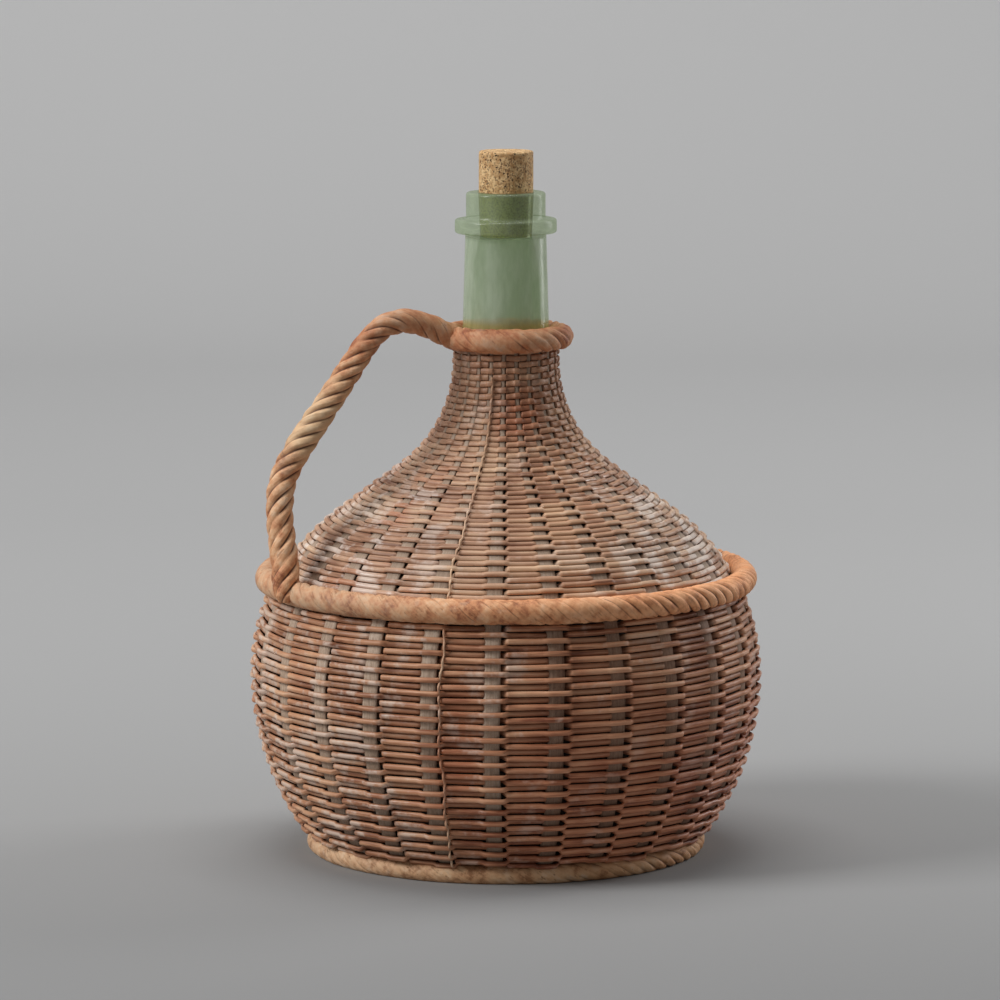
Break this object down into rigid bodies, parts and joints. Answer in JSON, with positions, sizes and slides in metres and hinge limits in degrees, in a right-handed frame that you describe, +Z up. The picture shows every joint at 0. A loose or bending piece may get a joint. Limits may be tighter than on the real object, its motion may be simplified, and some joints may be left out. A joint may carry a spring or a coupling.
{
  "type": "wicker demijohn",
  "caption": "Round glass demijohn in a woven willow cover with roped rings at foot, shoulder and neck, one roped bow handle at the side and a cork in the mouth.",
  "frame": {"origin": "centre of the foot, on the surface that the demijohn stands on", "axes": "+Z up through the middle of the mouth; the handle stands out towards -X"},
  "size_m": [0.2571, 0.2549, 0.3506],
  "materials": {
    "glass": "old pale green glass, slightly milky",
    "cork": "natural cork with dark pores",
    "rope": "twisted willow rods, dry and slightly worn",
    "foot_rope": "twisted willow rods, paler and yellower",
    "willow": "peeled and buffed willow rods",
    "stake": "split willow, greyed"
  },
  "bodies": {
    "bottle": {"glass_bottle": "glass", "base_weave": "willow", "belly_weave": "willow", "hood_weave": "willow", "foot_ring": "foot_rope", "belt_ring": "rope", "neck_ring": "rope", "handle": "rope", "cross_sticks_upper": "stake", "cross_sticks_lower": "stake", "stake_01": "stake", "stake_02": "stake", "stake_03": "stake", "stake_04": "stake", "stake_05": "stake", "stake_06": "stake", "stake_07": "stake", "stake_08": "stake", "stake_09": "stake", "stake_10": "stake", "stake_11": "stake", "stake_12": "stake", "stake_13": "stake", "stake_14": "stake", "stake_15": "stake", "stake_16": "stake", "stake_17": "stake", "stake_18": "stake", "stake_19": "stake", "stake_20": "stake", "stake_21": "stake", "stake_22": "stake", "stake_23": "stake", "stake_24": "stake", "stake_25": "stake"},
    "cork": {"cork": "cork"}
  },
  "joints": [
    {"name": "cork_pull", "type": "slide", "parent": "bottle", "child": "cork", "axis": [0, 0, 1], "range_m": [0, 0.05]}
  ]
}
